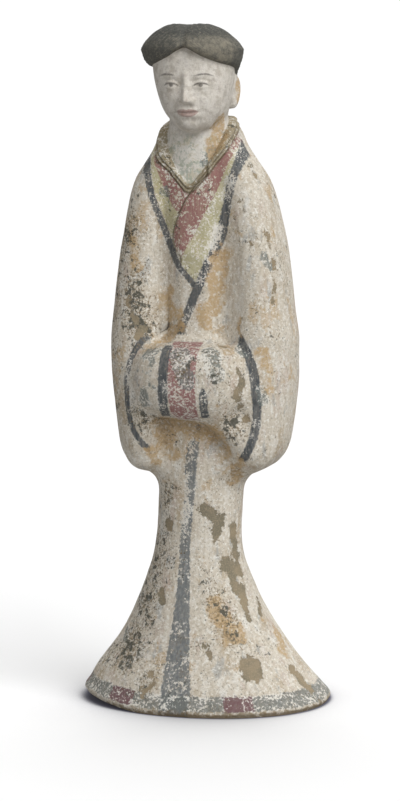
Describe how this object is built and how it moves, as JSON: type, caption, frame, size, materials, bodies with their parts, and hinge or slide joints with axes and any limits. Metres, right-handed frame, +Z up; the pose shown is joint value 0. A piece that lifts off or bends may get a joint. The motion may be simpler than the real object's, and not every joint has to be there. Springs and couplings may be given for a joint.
{
  "type": "terracotta court lady figure",
  "caption": "Standing court lady in painted terracotta, hands joined in her sleeves, with a flared skirt that is hollow underneath.",
  "frame": {"origin": "middle of the footprint, on the floor", "axes": "+Z up through the head, -Y the way she faces, +X towards her left hand"},
  "size_m": [0.2068, 0.1785, 0.56],
  "materials": {
    "painted_terracotta": "matt, worn cream slip with dry mineral paint over grey clay"
  },
  "bodies": {
    "root": {"court_lady": "painted_terracotta"}
  },
  "joints": []
}
